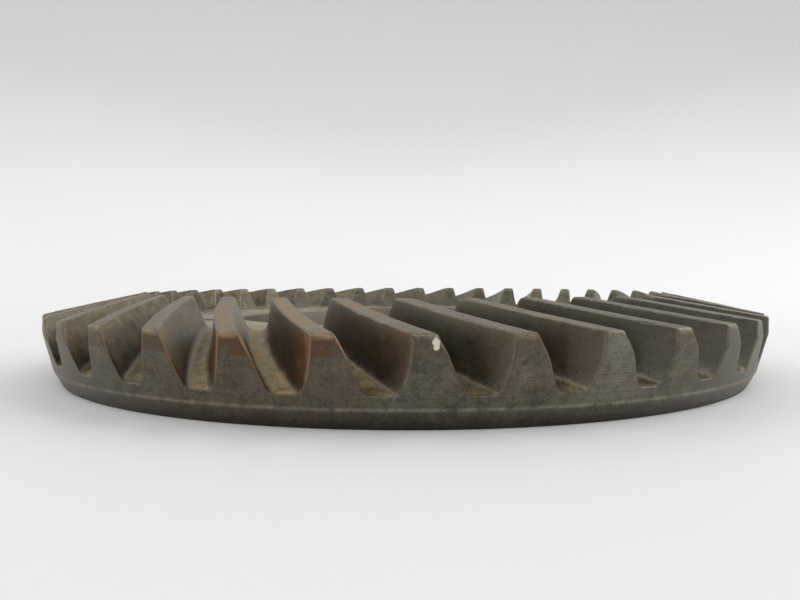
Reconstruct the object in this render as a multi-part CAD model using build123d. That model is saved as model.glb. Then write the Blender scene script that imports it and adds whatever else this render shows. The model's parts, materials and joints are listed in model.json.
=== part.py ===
from build123d import *
import os
from math import acos, atan, cos, degrees, pi, radians, sin, sqrt, tan

# Spiral bevel ring gear, one steel forging, in millimetres.
# The gear lies on its flat back face: +Z is its axis, and the origin is on the axis at the back face.
# Turns about the axis are in degrees from -Y towards +X. "Inward" is the distance from the outer end
# of the teeth, the heel, towards the inner end, the toe, along the pitch cone.

# Teeth
TOOTH_COUNT = 37
MATE_TOOTH_COUNT = 10              # the pinion's, which sets the pitch angle
CUTTER_RADIUS = 152.4              # a 12 inch face-mill cutter, which gives the teeth their curve
MEAN_SPIRAL_ANGLE = 36.7           # left-hand spiral
FIRST_TOOTH_TURN = -36.85          # middle of one top land, at the outer radius
HEEL_SLOT_WIDTH = 8.1              # of a gap's bottom, before its fillets
TOE_SLOT_WIDTH = 6.5
ROOT_FILLET = 2.6
FLANK_ANGLE = 17.5                 # mean of a tooth's two flanks, from the tooth's middle plane
FLANK_BIAS = 2.2                   # by this one flank is flatter than the mean at the heel, and the
                                   # other steeper; at the toe it is the other way round
HEEL_DEDENDUM = 9.3                # from the pitch cone down to a gap's bottom, at the heel

# Blank
OUTER_RADIUS = 135.0
HEEL_TOP_Z = 22.6
BAND_HEIGHT = 5.25                 # upright band round the heel ends of the teeth
BACK_CONE_ANGLE = 14.5             # from the axis
CREASE_Z = 5.05                    # where the back cone meets the undercut lower rim
BACK_FACE_RADIUS = 129.1
FACE_ANGLE = 12.5                  # of the top lands, from horizontal
ROOT_ANGLE = 20.5                  # of the gap bottoms, from horizontal
TOE_TOP_RADIUS = 103.0
WEB_Z = 19.7
BORE_RADIUS = 69.0
BORE_CHAMFER = 1.2

# Bolt circle
BOLT_COUNT = 10
BOLT_CIRCLE_RADIUS = 79.0
BOLT_HOLE_RADIUS = 5.0
BOLT_HOLE_CHAMFER = 0.4
FIRST_BOLT_TURN = -27.0

# Gap cutter
SECTION_COUNT = 7
OUTSIDE_HEEL = 7.0                 # how far the cutter runs out past each end of the teeth
INSIDE_TOE = 6.0
ABOVE_LAND = 3.0

# Worked out from the dimensions above
PITCH_ANGLE = atan(TOOTH_COUNT / MATE_TOOTH_COUNT)
PITCH_SLOPE = pi / 2 - PITCH_ANGLE
FACE_FALL = tan(PITCH_SLOPE - radians(FACE_ANGLE))
ROOT_RISE = tan(radians(ROOT_ANGLE) - PITCH_SLOPE)
KINK_Z = HEEL_TOP_Z - BAND_HEIGHT
HEEL_ADDENDUM = BAND_HEIGHT * cos(radians(FACE_ANGLE)) / cos(PITCH_SLOPE - radians(FACE_ANGLE))
LAND_CORNER_INWARD = BAND_HEIGHT * sin(PITCH_SLOPE)
CONE_DISTANCE = OUTER_RADIUS / sin(PITCH_ANGLE)
FACE_WIDTH = (OUTER_RADIUS - TOE_TOP_RADIUS) / cos(PITCH_SLOPE)
MEAN_CONE_DISTANCE = CONE_DISTANCE - FACE_WIDTH / 2
CUTTER_CENTRE_DISTANCE = sqrt(
    MEAN_CONE_DISTANCE**2
    + CUTTER_RADIUS**2
    - 2 * MEAN_CONE_DISTANCE * CUTTER_RADIUS * sin(radians(MEAN_SPIRAL_ANGLE))
)
CREASE_RADIUS = OUTER_RADIUS - (KINK_Z - CREASE_Z) * tan(radians(BACK_CONE_ANGLE))
TOE_TOP_Z = HEEL_TOP_Z + (OUTER_RADIUS - TOE_TOP_RADIUS) * tan(radians(FACE_ANGLE))
TOE_FOOT_RADIUS = TOE_TOP_RADIUS - (TOE_TOP_Z - WEB_Z) * tan(PITCH_SLOPE)


def turn_to_cutter_centre(cone_distance):
    """The turn from a point on the tooth's curve to the cutter's centre, unrolled from the pitch cone."""
    cosine = (cone_distance**2 + CUTTER_CENTRE_DISTANCE**2 - CUTTER_RADIUS**2) / (
        2 * cone_distance * CUTTER_CENTRE_DISTANCE
    )
    return degrees(acos(cosine)) / sin(PITCH_ANGLE)


def spiral_turn(inward):
    """How far the tooth has turned at this place, counted from the outer corner of its top land."""
    corner = turn_to_cutter_centre(CONE_DISTANCE - LAND_CORNER_INWARD)
    return corner - turn_to_cutter_centre(CONE_DISTANCE - inward)


def gap_plane(inward):
    """The plane square to the pitch cone in the middle of a gap: X is round the gear, Y out of it."""
    turn = FIRST_TOOTH_TURN + 180 / TOOTH_COUNT + spiral_turn(inward)
    around = radians(turn - 90)
    radius = OUTER_RADIUS - inward * cos(PITCH_SLOPE)
    outward = cos(PITCH_SLOPE)
    return Plane(
        origin=(radius * cos(around), radius * sin(around), KINK_Z + inward * sin(PITCH_SLOPE)),
        x_dir=(-sin(around), cos(around), 0),
        z_dir=(outward * cos(around), outward * sin(around), -sin(PITCH_SLOPE)),
    )


def gap_section(inward):
    """The outline of a gap between two teeth, with its filleted bottom."""
    along = inward / FACE_WIDTH
    bias = FLANK_BIAS * (1 - 2 * along)
    left_flank = tan(radians(FLANK_ANGLE + bias))
    right_flank = tan(radians(FLANK_ANGLE - bias))
    half_slot = (HEEL_SLOT_WIDTH + (TOE_SLOT_WIDTH - HEEL_SLOT_WIDTH) * along) / 2
    land = HEEL_ADDENDUM - inward * FACE_FALL
    bottom = inward * ROOT_RISE - HEEL_DEDENDUM
    middle = (land - bottom) * (left_flank - right_flank) / 2
    rise = land - bottom + ABOVE_LAND
    outline = Polyline(
        (middle - half_slot, bottom),
        (middle + half_slot, bottom),
        (middle + half_slot + rise * right_flank, bottom + rise),
        (middle - half_slot - rise * left_flank, bottom + rise),
        close=True,
    )
    section = make_face(outline)
    bottom_corners = section.vertices().sort_by(Axis.Y)[:2]
    return gap_plane(inward) * fillet(bottom_corners, ROOT_FILLET)


def make_gap():
    """One gap between two teeth, as a solid to cut away."""
    length = OUTSIDE_HEEL + FACE_WIDTH + INSIDE_TOE
    places = [length * i / (SECTION_COUNT - 1) - OUTSIDE_HEEL for i in range(SECTION_COUNT)]
    return loft([gap_section(place) for place in places])


def make_blank():
    """The turned blank: rim, toothed band and web, with the bore's two chamfers."""
    outline = Polyline(
        (BORE_RADIUS + BORE_CHAMFER, 0),
        (BACK_FACE_RADIUS, 0),
        (CREASE_RADIUS, CREASE_Z),
        (OUTER_RADIUS, KINK_Z),
        (OUTER_RADIUS, HEEL_TOP_Z),
        (TOE_TOP_RADIUS, TOE_TOP_Z),
        (TOE_FOOT_RADIUS, WEB_Z),
        (BORE_RADIUS + BORE_CHAMFER, WEB_Z),
        (BORE_RADIUS, WEB_Z - BORE_CHAMFER),
        (BORE_RADIUS, BORE_CHAMFER),
        close=True,
    )
    return revolve(Plane.XZ * make_face(outline), Axis.Z)


def make_bolt_hole():
    """A plain hole through the web, chamfered at both mouths, as a solid to cut away."""
    wide = BOLT_HOLE_RADIUS + BOLT_HOLE_CHAMFER
    outline = Polyline(
        (0, 0),
        (wide, 0),
        (BOLT_HOLE_RADIUS, BOLT_HOLE_CHAMFER),
        (BOLT_HOLE_RADIUS, WEB_Z - BOLT_HOLE_CHAMFER),
        (wide, WEB_Z),
        (0, WEB_Z),
        close=True,
    )
    return revolve(Plane.XZ * make_face(outline), Axis.Z)


def around_axis(shape, count, first_turn=0.0):
    """Copies of a shape, evenly spaced about the gear's axis."""
    return [Rot(0, 0, first_turn + 360 * i / count) * shape for i in range(count)]


def make_ring_gear():
    gear = make_blank()
    gear -= around_axis(Pos(0, -BOLT_CIRCLE_RADIUS, 0) * make_bolt_hole(), BOLT_COUNT, FIRST_BOLT_TURN)
    gear -= around_axis(make_gap(), TOOTH_COUNT)
    return gear


ring_gear = make_ring_gear()
os.makedirs("parts", exist_ok=True)
export_step(ring_gear, "parts/ring_gear.step")
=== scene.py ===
import json
import math
from types import SimpleNamespace

import bmesh
import bpy
import numpy as np
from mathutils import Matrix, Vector, noise


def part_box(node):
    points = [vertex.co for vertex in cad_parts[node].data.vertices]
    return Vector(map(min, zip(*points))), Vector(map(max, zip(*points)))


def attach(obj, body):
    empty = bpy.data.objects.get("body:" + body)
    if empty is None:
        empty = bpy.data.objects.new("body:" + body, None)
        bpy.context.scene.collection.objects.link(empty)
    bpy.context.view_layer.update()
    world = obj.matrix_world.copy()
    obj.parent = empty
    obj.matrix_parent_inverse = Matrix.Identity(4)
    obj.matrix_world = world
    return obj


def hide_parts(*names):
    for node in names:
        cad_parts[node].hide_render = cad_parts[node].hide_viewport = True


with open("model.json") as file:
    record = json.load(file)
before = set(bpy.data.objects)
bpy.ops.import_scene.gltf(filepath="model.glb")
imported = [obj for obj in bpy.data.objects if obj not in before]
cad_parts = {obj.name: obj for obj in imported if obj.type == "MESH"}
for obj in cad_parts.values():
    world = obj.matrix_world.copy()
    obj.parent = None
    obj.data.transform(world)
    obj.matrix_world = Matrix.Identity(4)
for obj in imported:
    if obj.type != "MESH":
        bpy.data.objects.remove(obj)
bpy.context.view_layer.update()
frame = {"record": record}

# The gear is in millimetres here, as in the CAD part: +Z up its axis, its back face at Z = 0.
# Turns about the axis are measured from -Y towards +X. "Inward" runs along the pitch cone from the
# outer end of the teeth, the heel, to the inner end, the toe. "Height" is square to the pitch cone.
MM = 0.001
MOUNTS = {mount["name"]: mount for mount in frame["record"]["mounts"]}
BORE_RADIUS = MOUNTS["bore"]["dims"]["r_mm"]
BOLT_CIRCLE_RADIUS = MOUNTS["bolt_circle"]["dims"]["pcd_mm"] / 2
BOLT_COUNT = MOUNTS["bolt_circle"]["dims"]["count"]
BOLT_HOLE_RADIUS = MOUNTS["bolt_circle"]["dims"]["hole_r_mm"]
TOE_TOP_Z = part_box("ring_gear")[1].z / MM

TOOTH_COUNT = 37
MATE_TOOTH_COUNT = 10
CUTTER_RADIUS = 152.4
MEAN_SPIRAL_ANGLE = math.radians(36.7)
FIRST_TOOTH_TURN = math.radians(-36.85)
HEEL_SLOT_WIDTH = 8.1
TOE_SLOT_WIDTH = 6.5
ROOT_FILLET = 2.6
FLANK_ANGLE = math.radians(17.5)
FLANK_BIAS = math.radians(2.2)
HEEL_DEDENDUM = 9.3
OUTER_RADIUS = 135.0
BAND_HEIGHT = 5.25
BACK_CONE_ANGLE = math.radians(14.5)
CREASE_Z = 5.05
BACK_FACE_RADIUS = 129.1
FACE_ANGLE = math.radians(12.5)
ROOT_ANGLE = math.radians(20.5)
TOE_TOP_RADIUS = 103.0
WEB_Z = 19.7
FIRST_BOLT_TURN = math.radians(-27.0)

HEEL_TOP_Z = TOE_TOP_Z - (OUTER_RADIUS - TOE_TOP_RADIUS) * math.tan(FACE_ANGLE)
KINK_Z = HEEL_TOP_Z - BAND_HEIGHT
PITCH_ANGLE = math.atan(TOOTH_COUNT / MATE_TOOTH_COUNT)
PITCH_SLOPE = math.pi / 2 - PITCH_ANGLE
SIN_SLOPE = math.sin(PITCH_SLOPE)
COS_SLOPE = math.cos(PITCH_SLOPE)
FACE_FALL = math.tan(PITCH_SLOPE - FACE_ANGLE)
ROOT_RISE = math.tan(ROOT_ANGLE - PITCH_SLOPE)
HEEL_ADDENDUM = BAND_HEIGHT * math.cos(FACE_ANGLE) / math.cos(PITCH_SLOPE - FACE_ANGLE)
CONE_DISTANCE = OUTER_RADIUS / math.sin(PITCH_ANGLE)
FACE_WIDTH = (OUTER_RADIUS - TOE_TOP_RADIUS) / COS_SLOPE
MEAN_CONE_DISTANCE = CONE_DISTANCE - FACE_WIDTH / 2
CUTTER_CENTRE_DISTANCE = math.sqrt(
    MEAN_CONE_DISTANCE**2
    + CUTTER_RADIUS**2
    - 2 * MEAN_CONE_DISTANCE * CUTTER_RADIUS * math.sin(MEAN_SPIRAL_ANGLE)
)
TOE_INWARD = (OUTER_RADIUS - TOE_TOP_RADIUS) * COS_SLOPE + (TOE_TOP_Z - KINK_Z) * SIN_SLOPE
CREASE_DROP = (KINK_Z - CREASE_Z) / math.cos(BACK_CONE_ANGLE)
CREASE_RADIUS = OUTER_RADIUS - CREASE_DROP * math.sin(BACK_CONE_ANGLE)
TOE_FOOT_RADIUS = TOE_TOP_RADIUS - (TOE_TOP_Z - WEB_Z) * math.tan(PITCH_SLOPE)
TOE_FOOT_HEIGHT = (WEB_Z - KINK_Z - TOE_INWARD * SIN_SLOPE) / COS_SLOPE

# Broken edges, in millimetres
TIP_ROUND = 0.40                   # along the top lands
TIP_ROUND_WEAR = 0.30
HEEL_ROUND = 0.45                  # round the outer ends of the teeth
SHARP_SIDE_ROUND = 0.60            # on the side where flank and end face meet at an acute angle
TOE_ROUND = 0.35
TOE_CORNER_ROUND = 1.1             # of the top lands' edges, where they reach the inner end
TOE_CORNER_REACH = 2.5
CREASE_ROUND = 0.5
BOTTOM_ROUND = 0.7
FOOT_ROUND = 0.4
BORE_CHAMFER = 1.2
BOLT_HOLE_CHAMFER = 0.4

# Mesh density: columns across one side of a gap, from the middle of a top land to the gap's middle,
# and rows along the teeth
KINDS = {"land": 3, "tip": 3, "wall": 6, "fillet": 4, "floor": 2}
ROUND_ROWS = 3
LENGTH_ROWS = 28
TOE_ROWS = 4
BORE_SEGMENTS = 240
HOLE_SEGMENTS = 36
SHARP_EDGE_ANGLE = math.radians(40)
FLAT_MARGIN = 1.5                  # where a flat face's own mesh starts, past the rounding at its rim
COLUMN_GAP = 0.25                  # the least distance between columns where an outline is upright
RING_GAP = 0.012                   # between rings that meet the outline, as a share of the face's height
KINK_ROUND = 0.22                  # half the width of the rounded kink between band and back cone

STAIN_TURN = math.radians(-17.0)   # the middle of the heaviest rust and dried oil
STAIN_SPREAD = math.radians(11.5)
BAND_STAIN_REACH = 2.4             # how much wider the stain spreads on the upright band
HEEL_RUST_AND_LIGHT_REACH = 7.5              # how far in the rust wash, which is partly painted light, runs from the outer ends, in millimetres
LIT_PATCH_TURN = math.radians(22.0)     # the middle of a paler patch on the outer ends, painted light, with clearer turning lines and no brown
LIT_PATCH_SPREAD = math.radians(4.5)


# ---------------------------------------------------------------- columns across one gap

def gap_columns():
    """Side, kind and place of every column: left land to floor, the middle, then back up the right."""
    one_side = [(kind, i / count) for kind, count in KINDS.items() for i in range(count)]
    left = [(-1, kind, place) for kind, place in one_side]
    middle = [(-1, "floor", 1.0)]
    right = [(1, kind, place) for kind, place in reversed(one_side[1:])]
    return left + middle + right


COLUMNS = gap_columns()
SIDE = np.array([side for side, kind, place in COLUMNS])
KIND = np.array([kind for side, kind, place in COLUMNS])
PLACE = np.array([place for side, kind, place in COLUMNS])
GAP_SHAPE = (TOOTH_COUNT, len(COLUMNS))


def smooth_noise(points, scale, seed=0.0):
    """Perlin noise from -1 to 1 at each point, with features of about this size."""
    shift = Vector((seed * 17.3, seed * 5.1, seed * 9.7))
    flat = points.reshape(-1, 3) / scale
    values = [noise.noise(Vector(point) + shift) for point in flat]
    return np.array(values).reshape(points.shape[:-1])


def turn_to_cutter_centre(cone_distance):
    cosine = (cone_distance**2 + CUTTER_CENTRE_DISTANCE**2 - CUTTER_RADIUS**2) / (
        2 * cone_distance * CUTTER_CENTRE_DISTANCE
    )
    return np.arccos(cosine) / math.sin(PITCH_ANGLE)


def spiral_turn(inward):
    corner = turn_to_cutter_centre(CONE_DISTANCE - BAND_HEIGHT * SIN_SLOPE)
    return corner - turn_to_cutter_centre(CONE_DISTANCE - inward)


def gap_profile(inward, tip_round):
    """Across, height and outward direction of every column of every gap, at these places inward."""
    bias = FLANK_BIAS * (1 - 2 * inward / FACE_WIDTH)
    slope = FLANK_ANGLE - SIDE * bias
    half_slot = (HEEL_SLOT_WIDTH + (TOE_SLOT_WIDTH - HEEL_SLOT_WIDTH) * inward / FACE_WIDTH) / 2
    land = HEEL_ADDENDUM - inward * FACE_FALL
    floor = inward * ROOT_RISE - HEEL_DEDENDUM
    depth = land - floor
    middle = depth * (np.tan(FLANK_ANGLE + bias) - np.tan(FLANK_ANGLE - bias)) / 2
    tangent = 1 / np.tan((math.pi / 2 + slope) / 2)
    foot_start = half_slot - ROOT_FILLET * tangent
    tip_start = half_slot + depth * np.tan(slope) + tip_round * tangent
    land_radius = OUTER_RADIUS - inward * COS_SLOPE + land * SIN_SLOPE
    land_middle = land_radius * math.pi / TOOTH_COUNT - SIDE * middle

    lean = slope + (math.pi / 2 - slope) * np.where(KIND == "tip", 1 - PLACE, PLACE)
    lean = np.where(KIND == "wall", slope, lean)
    lean = np.where((KIND == "land") | (KIND == "floor"), math.pi / 2, lean)
    wall_top = tip_start - tip_round * np.cos(slope)
    wall_foot = foot_start + ROOT_FILLET * np.cos(slope)
    wall_top_height = land - tip_round * (1 - np.sin(slope))
    wall_foot_height = floor + ROOT_FILLET * (1 - np.sin(slope))
    out = np.select(
        [KIND == "land", KIND == "tip", KIND == "wall", KIND == "fillet"],
        [
            land_middle + (tip_start - land_middle) * PLACE,
            tip_start - tip_round * np.cos(lean),
            wall_top + (wall_foot - wall_top) * PLACE,
            foot_start + ROOT_FILLET * np.cos(lean),
        ],
        foot_start * (1 - PLACE),
    )
    height = np.select(
        [KIND == "land", KIND == "tip", KIND == "wall", KIND == "fillet"],
        [
            land,
            land - tip_round * (1 - np.sin(lean)),
            wall_top_height + (wall_foot_height - wall_top_height) * PLACE,
            floor + ROOT_FILLET * (1 - np.sin(lean)),
        ],
        floor,
    )
    return middle + SIDE * out, height, -SIDE * np.cos(lean), np.sin(lean)


def place_on_cone(inward, across, height):
    """Radius, turn and Z of points given by place inward, distance across the gap and height."""
    radius = OUTER_RADIUS - inward * COS_SLOPE + height * SIN_SLOPE
    up = KINK_Z + inward * SIN_SLOPE + height * COS_SLOPE
    gap_turn = FIRST_TOOTH_TURN + (np.arange(TOOTH_COUNT)[:, None] * 2 + 1) * math.pi / TOOTH_COUNT
    return radius, gap_turn + spiral_turn(inward) + across / radius, up


def heel_end(height):
    """How far inward the outer end face is at this height: an upright band over the back cone."""
    on_band = height * math.tan(PITCH_SLOPE)
    on_back_cone = height * math.tan(PITCH_SLOPE - BACK_CONE_ANGLE)
    return np.where(height > 0, on_band, on_back_cone)


def to_points(radius, turn, up):
    radius, turn, up = np.broadcast_arrays(radius, turn, up)
    return np.stack([radius * np.sin(turn), -radius * np.cos(turn), up], axis=-1)


# ---------------------------------------------------------------- wear that the mesh carries

def tip_rounding(inward):
    """The radius of the top lands' edges: worn unevenly, with a few small chips."""
    across, height, _, _ = gap_profile(inward, np.full(GAP_SHAPE, TIP_ROUND))
    points = to_points(*place_on_cone(inward, across, height))
    side_points = points + SIDE[:, None] * np.array([0, 0, 40])
    wear = smooth_noise(side_points, 4.0, 1)
    chips = np.clip(smooth_noise(side_points, 2.2, 2) - 0.42, 0, 1)
    near_toe = np.exp(-(((TOE_INWARD - inward) / TOE_CORNER_REACH) ** 2))
    return TIP_ROUND + TIP_ROUND_WEAR * wear + 2.0 * chips + (TOE_CORNER_ROUND - TIP_ROUND) * near_toe


def heel_rounding():
    """The radius round the outer end of each column: broad on the acute side, with knocked corners."""
    sharp = (SIDE < 0) & ((KIND == "wall") | (KIND == "tip"))
    blend = np.convolve(np.tile(sharp.astype(float), 3), np.ones(5) / 5, "same")
    blend = blend[len(SIDE): 2 * len(SIDE)]
    across, height, _, _ = gap_profile(np.zeros(GAP_SHAPE), np.full(GAP_SHAPE, TIP_ROUND))
    points = to_points(*place_on_cone(np.zeros(GAP_SHAPE), across, height))
    wear = smooth_noise(points, 3.0, 3)
    per_tooth = smooth_noise(points[:, :1], 9.0, 4)
    corner = np.exp(-(((height - HEEL_ADDENDUM) / 1.6) ** 2)) * blend
    knocks = np.clip(smooth_noise(points, 2.6, 5) - 0.3, 0, 1)
    plain = HEEL_ROUND * (1 + 0.45 * wear)
    sharp_side = (SHARP_SIDE_ROUND - HEEL_ROUND) * blend * (1 + 0.35 * wear + 0.5 * per_tooth)
    return plain + sharp_side + corner * (0.2 + 0.3 * per_tooth) + 1.0 * knocks * (KIND != "floor")


# ---------------------------------------------------------------- the toothed ring, ring by ring
# A ring is (radius, turn, Z, tag) for every column of every gap.

def round_corners(points, radii, steps=3):
    """A path of (radius, Z) points with its inner corners rounded, each by its own radius."""
    path = [Vector(points[0])]
    for before, corner, after, radius in zip(points, points[1:], points[2:], radii):
        corner = Vector(corner)
        back = (Vector(before) - corner).normalized()
        on = (Vector(after) - corner).normalized()
        half_angle = back.angle(on) / 2
        reach = radius / math.tan(half_angle)
        centre = corner + (back + on).normalized() * radius / math.sin(half_angle)
        start = corner + back * reach - centre
        end = corner + on * reach - centre
        path += [centre + radius * start.slerp(end, i / steps) for i in range(steps + 1)]
    return path + [Vector(points[-1])]


def spread_turns(turn):
    """The same turns, spread so that no two neighbouring columns stand closer than COLUMN_GAP."""
    flat = turn.reshape(-1)
    steps = np.diff(flat, append=flat[0] + 2 * math.pi)
    steps = np.maximum(steps, COLUMN_GAP / OUTER_RADIUS)
    steps *= 2 * math.pi / steps.sum()
    return (flat[0] + np.concatenate([[0], np.cumsum(steps[:-1])])).reshape(turn.shape)


def bottom_rings(turn):
    """From the back face's rim, round its edge, up the undercut lower rim and over the crease."""
    above_crease = (
        CREASE_RADIUS + FLAT_MARGIN * math.sin(BACK_CONE_ANGLE),
        CREASE_Z + FLAT_MARGIN * math.cos(BACK_CONE_ANGLE),
    )
    outline = [
        (BACK_FACE_RADIUS - FLAT_MARGIN, 0),
        (BACK_FACE_RADIUS, 0),
        (CREASE_RADIUS, CREASE_Z),
        above_crease,
    ]
    path = round_corners(outline, [BOTTOM_ROUND, CREASE_ROUND])
    path.insert(5, path[4].lerp(path[5], 0.85))
    tags = ["rim"] * 6 + ["crease"] * 4
    return [(point.x, turn, point.y, tag) for point, tag in zip(path, tags)]


def heel_face_rings(turn, spread, height):
    """From above the crease up the back cone and the band to the outline of the teeth and gaps."""
    slope = np.where(height > 0, PITCH_SLOPE, PITCH_SLOPE - BACK_CONE_ANGLE)
    outline = -height / np.cos(slope)
    start = CREASE_DROP - FLAT_MARGIN / 2
    on_cone = np.linspace(start, KINK_ROUND, 8)
    on_band = np.linspace(-KINK_ROUND, -BAND_HEIGHT, 4)[:-1]
    drops = np.concatenate([on_cone, on_band])
    rings = []
    for i, drop in enumerate(drops):
        spare = RING_GAP * (len(drops) - i)
        level = np.maximum(drop, outline + spare * (start - outline))
        radius = OUTER_RADIUS - np.maximum(level, 0) * math.sin(BACK_CONE_ANGLE)
        up = KINK_Z - np.where(level > 0, level * math.cos(BACK_CONE_ANGLE), level)
        share = (level - outline) / (start - outline)
        rings.append((radius, turn + (spread - turn) * share, up, "cone" if drop > 0 else "band"))
    return rings


def tooth_rings():
    """From the heel outline over its rounded edge, along the teeth and over the toe's rounded edge.

    The fifth value of each ring is its height over the pitch cone.
    """
    start_height = gap_profile(np.zeros(GAP_SHAPE), np.full(GAP_SHAPE, TIP_ROUND))[1]
    heel_round = heel_rounding()
    rings = []

    def add(inward, inset, tag):
        across, height, along_x, along_height = gap_profile(inward, tip_rounding(inward))
        across = across - inset * along_x
        height = height - inset * along_height
        if tag == "heel_outline":
            inward = heel_end(height)
        rings.append((*place_on_cone(inward, across, height), tag, height))

    end = heel_end(start_height)
    for i in range(ROUND_ROWS):
        angle = i / ROUND_ROWS * math.pi / 2
        tag = "heel_edge" if i else "heel_outline"
        add(end + heel_round * (1 - math.cos(angle)), heel_round * (1 - math.sin(angle)), tag)
    first = end + heel_round
    last = TOE_INWARD - TOE_ROUND
    for i in range(LENGTH_ROWS + 1):
        add(first + (last - first) * i / LENGTH_ROWS, 0, "tooth")
    for i in range(1, ROUND_ROWS + 1):
        angle = i / ROUND_ROWS * math.pi / 2
        inward = TOE_INWARD - TOE_ROUND * (1 - math.sin(angle))
        add(np.full(GAP_SHAPE, inward), TOE_ROUND * (1 - math.cos(angle)), "toe_edge")
    return rings


def toe_face_rings(turn, spread, height):
    """From the toe outline down the inner end face and round its foot onto the web."""
    rings = []
    lowest = TOE_FOOT_HEIGHT + FOOT_ROUND / math.tan((math.pi / 2 + PITCH_SLOPE) / 2)
    for i in range(1, TOE_ROWS + 1):
        share = i / TOE_ROWS
        level = height + (lowest - height) * share
        radius, _, up = place_on_cone(TOE_INWARD, 0.0, level)
        rings.append((radius, turn + (spread - turn) * share, up, "toe_face"))
    wall_point = (TOE_FOOT_RADIUS + SIN_SLOPE, WEB_Z + COS_SLOPE)
    outline = [wall_point, (TOE_FOOT_RADIUS, WEB_Z), (TOE_FOOT_RADIUS - FLAT_MARGIN, WEB_Z)]
    path = round_corners(outline, [FOOT_ROUND])
    return rings + [(point.x, spread, point.y, "web") for point in path[2:]]


def ring_stack():
    """Every ring of the toothed part, from the back face's rim to the web, with its tags."""
    teeth = tooth_rings()
    heel_turn, heel_height = teeth[0][1], teeth[0][4]
    toe_turn, toe_height = teeth[-1][1], teeth[-1][4]
    heel_spread = spread_turns(heel_turn)
    stack = bottom_rings(heel_spread) + heel_face_rings(heel_turn, heel_spread, heel_height)
    stack += [ring[:4] for ring in teeth]
    return stack + toe_face_rings(toe_turn, spread_turns(toe_turn), toe_height)


# ---------------------------------------------------------------- masks that the steel's nodes read

def near_turn(turn, centre, spread):
    """1 at the centre's turn about the axis, and fading to 0 either side."""
    off_centre = np.abs((turn - centre + math.pi) % (2 * math.pi) - math.pi)
    return np.exp(-((off_centre / spread) ** 2))


def stain_patch(turn):
    """Rust and dried oil, from 0 to 1: heaviest round one side, with fainter patches elsewhere."""
    heavy = near_turn(turn, STAIN_TURN, STAIN_SPREAD)
    around = np.stack([np.sin(turn), np.cos(turn), np.zeros_like(turn)], axis=-1)
    faint = np.clip(0.6 * smooth_noise(around, 0.35, 6), 0, 0.3)
    return np.clip(heavy + faint, 0, 1)


def ring_masks(ring):
    """The masks of one ring, each 0 to 1 at every column. Only the holes' walls have any "bore"."""
    radius, turn, up, tag = ring
    turn = np.broadcast_to(turn, GAP_SHAPE)
    ones = np.ones(GAP_SHAPE)
    on_teeth = tag in ("tooth", "heel_edge", "toe_edge", "heel_outline")
    tip = ones * (KIND == "tip") * on_teeth
    bottom = (KIND == "floor") | (KIND == "fillet")
    # edge: worn edges and painted highlight, strongest along the crease as a thin bright line
    worn = {"heel_edge": 0.25, "toe_edge": 0.4, "crease": 0.8, "heel_outline": 0.1}.get(tag, 0.0)
    # partly rust, partly painted light: fading inward from the outer ends of the flanks
    from_heel = np.exp(-((OUTER_RADIUS - radius) / HEEL_RUST_AND_LIGHT_REACH) ** 2) * on_teeth
    inside = tag in ("tooth", "toe_edge")
    floor = ones * np.where(KIND == "fillet", PLACE**2, 1.0) * bottom * inside
    wide_stain = near_turn(turn, STAIN_TURN, BAND_STAIN_REACH * STAIN_SPREAD)
    if tag == "web":
        floor = ones
    return {
        "edge": np.clip(tip * 0.45 + worn * np.where(bottom & on_teeth, 0.35, 1.0), 0, 1),
        "floor": floor,
        "land": ones * (KIND == "land") * on_teeth,
        "band": ones * (tag == "band") * (0.3 + 0.7 * wide_stain),
        # pale: painted light, a paler patch on the band and back cone round one turn
        "pale": ones * (tag in ("band", "cone")) * near_turn(turn, LIT_PATCH_TURN, LIT_PATCH_SPREAD),
        "bore": np.zeros(GAP_SHAPE),
        # rim: painted shade, full at the bottom of the undercut lower rim and none at the crease
        "rim": ones * (np.clip(1 - up / CREASE_Z, 0, 1) if tag == "rim" else 0),
        "heel_side": ones * from_heel * (KIND == "wall"),
        "flank": ones * (KIND == "wall") * on_teeth,
        "right_flank": ones * ((KIND == "wall") & (SIDE < 0)) * inside,
        "turned": ones * ((tag in ("rim", "crease", "cone", "band", "web")) or (KIND == "land")),
        "stain": stain_patch(turn),
    }


def web_tube(bm, centre_turn, centre_radius, radius, chamfer, segments):
    """A chamfered hole's wall through the web. Returns its lower and upper rim."""
    outline = [(radius + chamfer + 0.5, 0), (radius + chamfer, 0), (radius, chamfer)]
    outline += [(wide, WEB_Z - up) for wide, up in reversed(outline)]
    path = round_corners(outline, [0.2] * 4, steps=2)
    middle = Vector((centre_radius * math.sin(centre_turn), -centre_radius * math.cos(centre_turn), 0))
    loops = []
    for wide, up in path:
        loop = []
        for i in range(segments):
            turn = 2 * math.pi * i / segments
            loop.append(bm.verts.new(middle + Vector((wide * math.cos(turn), wide * math.sin(turn), up))))
        loops.append(loop)
    for low, high in zip(loops, loops[1:]):
        for i in range(segments):
            j = (i + 1) % segments
            face = bm.faces.new((low[i], high[i], high[j], low[j]))
            face.smooth = True
    return loops[0], loops[-1]


def fill_flat(bm, loops, upward):
    """A flat face between an outer rim and the rims of its holes."""
    edges = []
    for loop in loops:
        for vert, following in zip(loop, loop[1:] + loop[:1]):
            edges.append(bm.edges.get((vert, following)) or bm.edges.new((vert, following)))
    made = bmesh.ops.triangle_fill(bm, use_beauty=True, use_dissolve=False, edges=edges)
    for face in [item for item in made["geom"] if isinstance(item, bmesh.types.BMFace)]:
        face.smooth = False
        face.normal_update()
        if (face.normal.z > 0) != upward:
            face.normal_flip()


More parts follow.
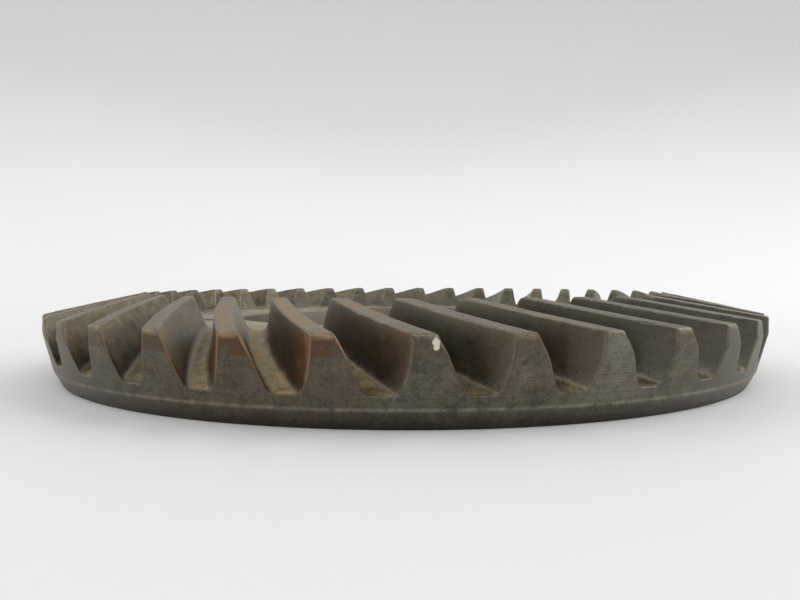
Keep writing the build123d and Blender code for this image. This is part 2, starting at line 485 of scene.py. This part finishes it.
def hole_masks(points):
    """The masks of the bore's and bolt holes' vertices: only stain, and film on the web's top."""
    turn = np.arctan2(points[:, 0], -points[:, 1])
    on_top = points[:, 2] / MM > WEB_Z - BORE_CHAMFER / 2
    far_out = np.hypot(points[:, 0], points[:, 1]) / MM > BORE_RADIUS + 2 * BORE_CHAMFER
    masks = {"floor": on_top * 1.0, "turned": on_top * 1.0, "stain": stain_patch(turn)}
    return masks | {"bore": 1.0 - far_out}


def add_masks(mesh, masks):
    """Writes every vertex's masks as attributes: the rings' vertices come first, then the holes'."""
    points = np.array([vertex.co for vertex in mesh.vertices])
    ring_vertex_count = len(masks) * TOOTH_COUNT * len(COLUMNS)
    on_holes = hole_masks(points[ring_vertex_count:])
    for name in masks[0]:
        values = np.zeros(len(points))
        values[:ring_vertex_count] = np.concatenate([mask[name].reshape(-1) for mask in masks])
        values[ring_vertex_count:] = on_holes.get(name, 0.0)
        mesh.attributes.new(name, "FLOAT", "POINT").data.foreach_set("value", values)


def build_gear():
    """The whole forging as one closed mesh."""
    stack = ring_stack()
    rings = [np.broadcast_to(to_points(*ring[:3]), (*GAP_SHAPE, 3)).reshape(-1, 3) for ring in stack]
    round_count = rings[0].shape[0]
    bm = bmesh.new()
    grid = [[bm.verts.new(Vector(point)) for point in ring] for ring in rings]
    for low, high in zip(grid, grid[1:]):
        for i in range(round_count):
            j = (i + 1) % round_count
            bm.faces.new((low[i], low[j], high[j], high[i])).smooth = True
    back_rims, web_rims = [grid[0]], [grid[-1]]
    low, high = web_tube(bm, 0, 0, BORE_RADIUS, BORE_CHAMFER, BORE_SEGMENTS)
    back_rims.append(low)
    web_rims.append(high)
    for i in range(BOLT_COUNT):
        turn = FIRST_BOLT_TURN + 2 * math.pi * i / BOLT_COUNT
        low, high = web_tube(bm, turn, BOLT_CIRCLE_RADIUS, BOLT_HOLE_RADIUS, BOLT_HOLE_CHAMFER, HOLE_SEGMENTS)
        back_rims.append(low)
        web_rims.append(high)
    fill_flat(bm, back_rims, upward=False)
    fill_flat(bm, web_rims, upward=True)
    bmesh.ops.scale(bm, vec=(MM, MM, MM), verts=bm.verts)
    mesh = bpy.data.meshes.new("ring_gear_forging")
    bm.to_mesh(mesh)
    bm.free()
    mesh.set_sharp_from_angle(angle=SHARP_EDGE_ANGLE)
    add_masks(mesh, [ring_masks(ring) for ring in stack])
    gear = bpy.data.objects.new("ring_gear_forging", mesh)
    bpy.context.scene.collection.objects.link(gear)
    return gear


gear = build_gear()
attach(gear, "root")
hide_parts("ring_gear")


# ---------------------------------------------------------------- materials

def colour(red, green, blue):
    return (red, green, blue, 1.0)


STEEL_DARK = colour(0.055, 0.050, 0.0385)
STEEL_LIGHT = colour(0.185, 0.172, 0.133)
BROWN = colour(0.095, 0.062, 0.037)
FILM_DARK = colour(0.23, 0.155, 0.066)
FILM_LIGHT = colour(0.56, 0.46, 0.26)
RUST = colour(0.23, 0.115, 0.048)
OLIVE = colour(0.27, 0.22, 0.085)
# machined steel of the holes' walls, made lighter partly as painted light
BORE_STEEL_AND_LIGHT = colour(0.23, 0.21, 0.165)
# the dark oil colour of the specks, and also the colour of the painted shade on the lower rim
OIL_AND_PAINTED_SHADE = colour(0.022, 0.019, 0.016)
# light worn metal, also the colour of the painted highlights along the edges
BRIGHT_WEAR_AND_HIGHLIGHT = colour(0.36, 0.33, 0.26)
PAINT = colour(0.62, 0.59, 0.48)

CALM_TONE = 0.42                   # the tone that the left flanks are drawn towards
BUMP_DEPTH = 0.05                  # in millimetres

# The paint dab sits at the outer corner of this tooth
DAB_TOOTH = 4
DAB_TURN = math.radians(0.95)      # from the middle of the tooth's land
DAB_DROP = 2.2                     # below the top of the outer end
DAB_STRETCH = (1.2, 1.0, 0.55)     # more than 1 makes it narrower, less makes it longer
DAB_WOBBLE = 1.6


def add_node(tree, kind, inputs=None, **settings):
    """A shader node with these settings, and with these values or links on its inputs."""
    node = tree.nodes.new(kind)
    for name, value in settings.items():
        setattr(node, name, value)
    for key, value in (inputs or {}).items():
        if isinstance(value, bpy.types.NodeSocket):
            tree.links.new(value, node.inputs[key])
        else:
            node.inputs[key].default_value = value
    return node


def blend(tree, share, first, second):
    """A colour between two, by share."""
    return add_node(tree, "ShaderNodeMix", {0: share, 6: first, 7: second}, data_type="RGBA").outputs[2]


def calc(tree, operation, first, second=0.0, clamp=False):
    inputs = {0: first, 1: second}
    return add_node(tree, "ShaderNodeMath", inputs, operation=operation, use_clamp=clamp).outputs[0]


def add(tree, first, second, clamp=False):
    return calc(tree, "ADD", first, second, clamp)


def subtract(tree, first, second):
    return calc(tree, "SUBTRACT", first, second)


def multiply(tree, first, second):
    return calc(tree, "MULTIPLY", first, second)


def shift_by(tree, operation, place, by):
    """A vector node's result."""
    return add_node(tree, "ShaderNodeVectorMath", {0: place, 1: by}, operation=operation).outputs[0]


def scale_by(tree, place, factor):
    return add_node(tree, "ShaderNodeVectorMath", {0: place, "Scale": factor}, operation="SCALE").outputs[0]


def remap(tree, value, low, high, to_low=0.0, to_high=1.0):
    """Value from low to high, taken to the range from to_low to to_high and held there."""
    inputs = {"Value": value, "From Min": low, "From Max": high, "To Min": to_low, "To Max": to_high}
    return add_node(tree, "ShaderNodeMapRange", inputs).outputs[0]


def grain(tree, place, size, detail=3.0, roughness=0.6):
    """Noise with features of about this many millimetres."""
    inputs = {"Vector": place, "Scale": 1 / size, "Detail": detail, "Roughness": roughness}
    return add_node(tree, "ShaderNodeTexNoise", inputs).outputs["Fac"]


def turning_lines(tree, place):
    """Fine lines round the axis, as the lathe left them: noise along the turned profile alone."""
    apart = add_node(tree, "ShaderNodeSeparateXYZ", {0: place}).outputs
    squares = add(tree, calc(tree, "POWER", apart[0], 2.0), calc(tree, "POWER", apart[1], 2.0))
    radius = calc(tree, "SQRT", squares)
    along = add(tree, apart[2], multiply(tree, radius, 0.9))
    inputs = {"W": along, "Scale": 1 / 0.7, "Detail": 4.0, "Roughness": 0.75}
    return add_node(tree, "ShaderNodeTexNoise", inputs, noise_dimensions="1D").outputs["Fac"]


def steel_grains(tree, place):
    """The noises that break up the steel's look, from the broadest to the finest."""
    return SimpleNamespace(
        broad=grain(tree, place, 14.0),
        middling=grain(tree, place, 7.0, 4.0, 0.6),
        patchy=grain(tree, place, 3.5, 5.0, 0.65),
        fine=grain(tree, place, 0.7, 4.0, 0.7),
        specks=grain(tree, place, 0.9, 2.0, 0.5),
        lines=turning_lines(tree, place),
    )


def read_masks(tree):
    """The masks that the gear's mesh carries."""
    names = ("edge", "floor", "land", "band", "pale", "bore", "rim", "heel_side", "flank")
    names += ("right_flank", "turned", "stain")
    nodes = {name: add_node(tree, "ShaderNodeAttribute", attribute_name=name) for name in names}
    return SimpleNamespace(**{name: node.outputs["Fac"] for name, node in nodes.items()})


def paint_dab(tree, place):
    """A small smear of white paint at the outer corner of one tooth: 1 inside it, 0 outside."""
    turn = FIRST_TOOTH_TURN + DAB_TOOTH * 2 * math.pi / TOOTH_COUNT + DAB_TURN
    centre = (OUTER_RADIUS * math.sin(turn), -OUTER_RADIUS * math.cos(turn), HEEL_TOP_Z - DAB_DROP)
    inputs = {"Vector": place, "Scale": 0.9, "Detail": 2.0}
    wobble = add_node(tree, "ShaderNodeTexNoise", inputs).outputs["Color"]
    shift = scale_by(tree, shift_by(tree, "SUBTRACT", wobble, (0.5, 0.5, 0.5)), DAB_WOBBLE)
    moved = shift_by(tree, "ADD", place, shift)
    moved = shift_by(tree, "SUBTRACT", moved, centre)
    moved = shift_by(tree, "MULTIPLY", moved, DAB_STRETCH)
    distance = add_node(tree, "ShaderNodeVectorMath", {0: moved}, operation="LENGTH").outputs[1]
    return remap(tree, distance, 0.95, 0.75)


def bare_steel(tree, grains, masks):
    """Dull steel, with turned lines on the turned faces, and calmer on the left flanks."""
    tone = add(tree, multiply(tree, grains.patchy, 0.55), multiply(tree, grains.fine, 0.45))
    line_share = remap(tree, grains.broad, 0.42, 0.62, 0.0, 0.28)
    line_share = add(tree, line_share, multiply(tree, masks.pale, 0.35))
    line_share = multiply(tree, masks.turned, line_share)
    tone = add(tree, tone, multiply(tree, subtract(tree, grains.lines, 0.5), line_share))
    # painted light: the pale patch lifts the tone
    tone = add(tree, tone, multiply(tree, masks.pale, 0.10))
    calm = multiply(tree, subtract(tree, masks.flank, masks.right_flank), 0.65)
    tone = add(tree, tone, multiply(tree, subtract(tree, CALM_TONE, tone), calm))
    return blend(tree, remap(tree, tone, 0.36, 0.66), STEEL_DARK, STEEL_LIGHT)


def add_brown(tree, steel, grains, masks):
    """Brown oxide in patches and on the upright band, a rusty wash at the heel that is partly painted light,
    and a lighter bore that is partly painted light.
    """
    share = add(tree, multiply(tree, masks.stain, 0.5), 0.12)
    share = multiply(tree, share, remap(tree, grains.middling, 0.38, 0.6, 0.15, 1.0))
    banded = multiply(tree, masks.band, remap(tree, grains.middling, 0.36, 0.6, 0.45, 0.95))
    share = add(tree, share, banded, clamp=True)
    # no brown in the patch of painted light
    share = multiply(tree, share, subtract(tree, 1.0, masks.pale))
    steel = blend(tree, share, steel, BROWN)
    # rust wash and painted light: the flanks lighter and browner towards the open outer ends
    wash = multiply(tree, masks.heel_side, multiply(tree, masks.stain, 0.8))
    steel = blend(tree, wash, steel, RUST)
    # the holes' walls lightened, partly painted light
    return blend(tree, multiply(tree, masks.bore, 0.8), steel, BORE_STEEL_AND_LIGHT)


def film_share(tree, grains, masks):
    """Where a film of dried oil and dust lies: on gap bottoms, lands and right flanks."""
    film = multiply(tree, masks.floor, remap(tree, masks.stain, 0.0, 1.0, 0.35, 0.95))
    on_lands = multiply(tree, masks.land, remap(tree, masks.stain, 0.0, 1.0, 0.12, 0.55))
    film = add(tree, film, on_lands)
    on_flanks = multiply(tree, masks.right_flank, remap(tree, masks.stain, 0.0, 1.0, 0.1, 0.5))
    film = add(tree, film, on_flanks, clamp=True)
    return multiply(tree, film, remap(tree, grains.patchy, 0.3, 0.6, 0.55, 1.0))


def film_colour(tree, grains):
    mottle = add(tree, multiply(tree, grains.patchy, 0.6), multiply(tree, grains.fine, 0.4))
    return blend(tree, remap(tree, mottle, 0.38, 0.62), FILM_DARK, FILM_LIGHT)


def rust_share(tree, grains, masks):
    """Spots of rust, which reach furthest where the stain is heaviest."""
    prone = add(tree, multiply(tree, masks.floor, 0.10), multiply(tree, masks.land, 0.08))
    reach = multiply(tree, masks.stain, add(tree, prone, 0.07))
    reach = add(tree, reach, multiply(tree, masks.heel_side, 0.05))
    level = subtract(tree, 0.67, reach)
    rust = remap(tree, subtract(tree, grains.patchy, level), 0.0, 0.16)
    return multiply(tree, rust, remap(tree, grains.specks, 0.35, 0.6, 0.2, 0.8))


def add_specks(tree, steel, grains, masks):
    """Olive specks off the flanks, a red tint on stained lands, and dark specks everywhere."""
    olive = multiply(tree, remap(tree, grains.specks, 0.62, 0.70), remap(tree, grains.broad, 0.5, 0.62))
    olive = multiply(tree, olive, subtract(tree, 1.0, masks.flank))
    steel = blend(tree, multiply(tree, olive, 0.6), steel, OLIVE)
    reddened = multiply(tree, masks.land, masks.stain)
    reddened = multiply(tree, reddened, remap(tree, grains.middling, 0.4, 0.6, 0.1, 0.45))
    steel = blend(tree, reddened, steel, RUST)
    dark_speck = remap(tree, grains.specks, 0.36, 0.30)
    return blend(tree, multiply(tree, dark_speck, 0.3), steel, OIL_AND_PAINTED_SHADE)


def add_edge_wear_highlights_and_shade(tree, steel, grains, masks):
    """Bright worn edges, partly painted highlight, and painted shade that darkens the lower rim towards its
    bottom.
    """
    # partly wear, partly painted highlight: the edges and the crease lightened in patches
    wear = multiply(tree, masks.edge, remap(tree, grains.patchy, 0.35, 0.62, 0.1, 0.75))
    steel = blend(tree, wear, steel, BRIGHT_WEAR_AND_HIGHLIGHT)
    # painted shade: the lower rim is darkened towards its bottom
    return blend(tree, multiply(tree, masks.rim, 0.85), steel, OIL_AND_PAINTED_SHADE)


def steel_bump(tree, grains, masks, rust):
    relief = add(tree, multiply(tree, grains.fine, 0.5), multiply(tree, rust, 0.5))
    relief = add(tree, relief, multiply(tree, grains.lines, multiply(tree, masks.turned, 0.8)))
    inputs = {"Height": relief, "Distance": BUMP_DEPTH * MM, "Strength": 0.8}
    return add_node(tree, "ShaderNodeBump", inputs).outputs[0]


def steel_material():
    """Forged and cut steel, dulled by old oil, with worn edges that also carry painted highlights, a tan film
    in the gaps and rust.
    """
    material = bpy.data.materials.new("worn_gear_steel")
    material.use_nodes = True
    tree = material.node_tree
    surface = tree.nodes["Principled BSDF"].inputs
    where = add_node(tree, "ShaderNodeTexCoord").outputs["Object"]
    place = scale_by(tree, where, 1 / MM)
    grains = steel_grains(tree, place)
    masks = read_masks(tree)
    film = film_share(tree, grains, masks)
    rust = rust_share(tree, grains, masks)
    dab = paint_dab(tree, place)

    steel = bare_steel(tree, grains, masks)
    steel = add_brown(tree, steel, grains, masks)
    steel = blend(tree, film, steel, film_colour(tree, grains))
    steel = blend(tree, rust, steel, RUST)
    steel = add_specks(tree, steel, grains, masks)
    steel = add_edge_wear_highlights_and_shade(tree, steel, grains, masks)
    steel = blend(tree, dab, steel, PAINT)
    tree.links.new(steel, surface["Base Color"])

    covered = add(tree, multiply(tree, film, 0.7), multiply(tree, rust, 0.8))
    covered = add(tree, covered, dab, clamp=True)
    metal = multiply(tree, subtract(tree, 1.0, covered), 0.85)
    tree.links.new(metal, surface["Metallic"])
    roughness = remap(tree, grains.patchy, 0.3, 0.7, 0.34, 0.52)
    roughness = add(tree, roughness, multiply(tree, covered, 0.25), clamp=True)
    tree.links.new(roughness, surface["Roughness"])
    tree.links.new(steel_bump(tree, grains, masks, rust), surface["Normal"])
    return material


gear.data.materials.append(steel_material())


# ---------------------------------------------------------------- stage, light and camera
# Sizes and places are in metres here, and powers in watts.

FLOOR_PAINT = colour(0.89, 0.89, 0.89)
# the grey of the painted shade at the top of the wall
WALL_SHADE_GREY = colour(0.66, 0.66, 0.66)
WALL_SHADE_UP = 1.3                # where the wall's painted shade reaches its full grey
WORLD_STRENGTH = 0.05

BOWL_FLAT_RADIUS = 0.6
BOWL_BEND_RADIUS = 1.8
BOWL_TOP = 2.8
BOWL_BEND_STEPS = 24
BOWL_SEGMENTS = 96

SENSOR_WIDTH = 36                  # in millimetres, as is the lens
LENS = 29.63
CAMERA_DISTANCE = 2.0654 * OUTER_RADIUS * MM
CAMERA_UP = 0.2565 * OUTER_RADIUS * MM
CAMERA_TIP = 0.0315                # downwards, in radians
CAMERA_TURN = 0.006


def bowl_paint_and_shade():
    """Near white on the floor, and greyer up the wall as painted shade, which also keeps stray light off the
    gear.
    """
    material = bpy.data.materials.new("bowl_paint_and_shade")
    material.use_nodes = True
    tree = material.node_tree
    surface = tree.nodes["Principled BSDF"].inputs
    where = add_node(tree, "ShaderNodeTexCoord").outputs["Object"]
    up = add_node(tree, "ShaderNodeSeparateXYZ", {0: where}).outputs[2]
    share = remap(tree, up, 0.0, WALL_SHADE_UP)
    # painted shade: the wall darkens from the floor upwards
    tree.links.new(blend(tree, share, FLOOR_PAINT, WALL_SHADE_GREY), surface["Base Color"])
    surface["Roughness"].default_value = 0.6
    surface["Specular IOR Level"].default_value = 0.3
    return material


def bowl_profile():
    """Radius and height of each ring of the bowl, from the flat floor up to its rim."""
    profile = [(BOWL_FLAT_RADIUS * i / 3, 0.0) for i in range(1, 3)]
    for i in range(BOWL_BEND_STEPS + 1):
        angle = i / BOWL_BEND_STEPS * math.pi / 2
        radius = BOWL_FLAT_RADIUS + BOWL_BEND_RADIUS * math.sin(angle)
        profile.append((radius, BOWL_BEND_RADIUS * (1 - math.cos(angle))))
    return profile + [(BOWL_FLAT_RADIUS + BOWL_BEND_RADIUS, BOWL_TOP)]


def add_bowl():
    """The pale floor, which curves up into a pale wall all round the gear."""
    profile = bowl_profile()
    points = [(0, 0, 0)]
    for radius, up in profile:
        for i in range(BOWL_SEGMENTS):
            turn = 2 * math.pi * i / BOWL_SEGMENTS
            points.append((radius * math.sin(turn), -radius * math.cos(turn), up))
    faces = [(0, 1 + i, 1 + (i + 1) % BOWL_SEGMENTS) for i in range(BOWL_SEGMENTS)]
    for ring in range(len(profile) - 1):
        low = 1 + ring * BOWL_SEGMENTS
        high = low + BOWL_SEGMENTS
        for i in range(BOWL_SEGMENTS):
            j = (i + 1) % BOWL_SEGMENTS
            faces.append((low + i, high + i, high + j, low + j))
    mesh = bpy.data.meshes.new("bowl")
    mesh.from_pydata(points, [], faces)
    mesh.shade_smooth()
    bowl = bpy.data.objects.new("bowl", mesh)
    bpy.context.scene.collection.objects.link(bowl)
    mesh.materials.append(bowl_paint_and_shade())


def add_softbox(name, place, target, width, depth, watts):
    light = bpy.data.lights.new(name, "AREA")
    light.shape = "RECTANGLE"
    light.size = width
    light.size_y = depth
    light.energy = watts
    lamp = bpy.data.objects.new(name, light)
    lamp.location = place
    lamp.rotation_euler = (Vector(target) - Vector(place)).to_track_quat("-Z", "Y").to_euler()
    bpy.context.scene.collection.objects.link(lamp)


def add_lights():
    """Six softboxes that face the gear, and one that lights the wall behind it."""
    gear_place = (0, 0, 0)
    wall_place = (0, 2.3, 1.25)
    add_softbox("right_top", (1.1, 0.1, 1.0), gear_place, 1.2, 1.0, 8.8)
    add_softbox("left_top", (-1.1, 0.1, 1.0), gear_place, 1.2, 1.0, 4.8)
    add_softbox("back_top", (0, 1.2, 1.2), gear_place, 1.6, 0.8, 3.4)
    add_softbox("front_top", (0, -1.1, 1.1), gear_place, 1.6, 1.0, 8.7)
    add_softbox("left_low", (-1.4, -0.2, 0.5), gear_place, 1.0, 0.5, 2.0)
    add_softbox("right_low", (1.4, -0.2, 0.5), gear_place, 1.0, 0.5, 2.4)
    add_softbox("back_wall", (0, 0.5, 1.9), wall_place, 3.0, 0.6, 22)


def add_camera():
    """The lens stands 35 mm above the floor, level with the teeth and tipped down a little."""
    data = bpy.data.cameras.new("camera")
    data.sensor_width = SENSOR_WIDTH
    data.lens = LENS
    data.clip_start = 0.01
    camera = bpy.data.objects.new("camera", data)
    camera.location = (0, -CAMERA_DISTANCE, CAMERA_UP)
    camera.rotation_euler = (math.pi / 2 - CAMERA_TIP, 0, CAMERA_TURN)
    bpy.context.scene.collection.objects.link(camera)
    bpy.context.scene.camera = camera


def add_world():
    world = bpy.data.worlds.new("studio")
    world.use_nodes = True
    background = world.node_tree.nodes["Background"].inputs
    background["Color"].default_value = colour(1.0, 1.0, 1.0)
    background["Strength"].default_value = WORLD_STRENGTH
    bpy.context.scene.world = world
    bpy.context.scene.view_settings.view_transform = "Standard"


add_bowl()
add_lights()
add_camera()
add_world()
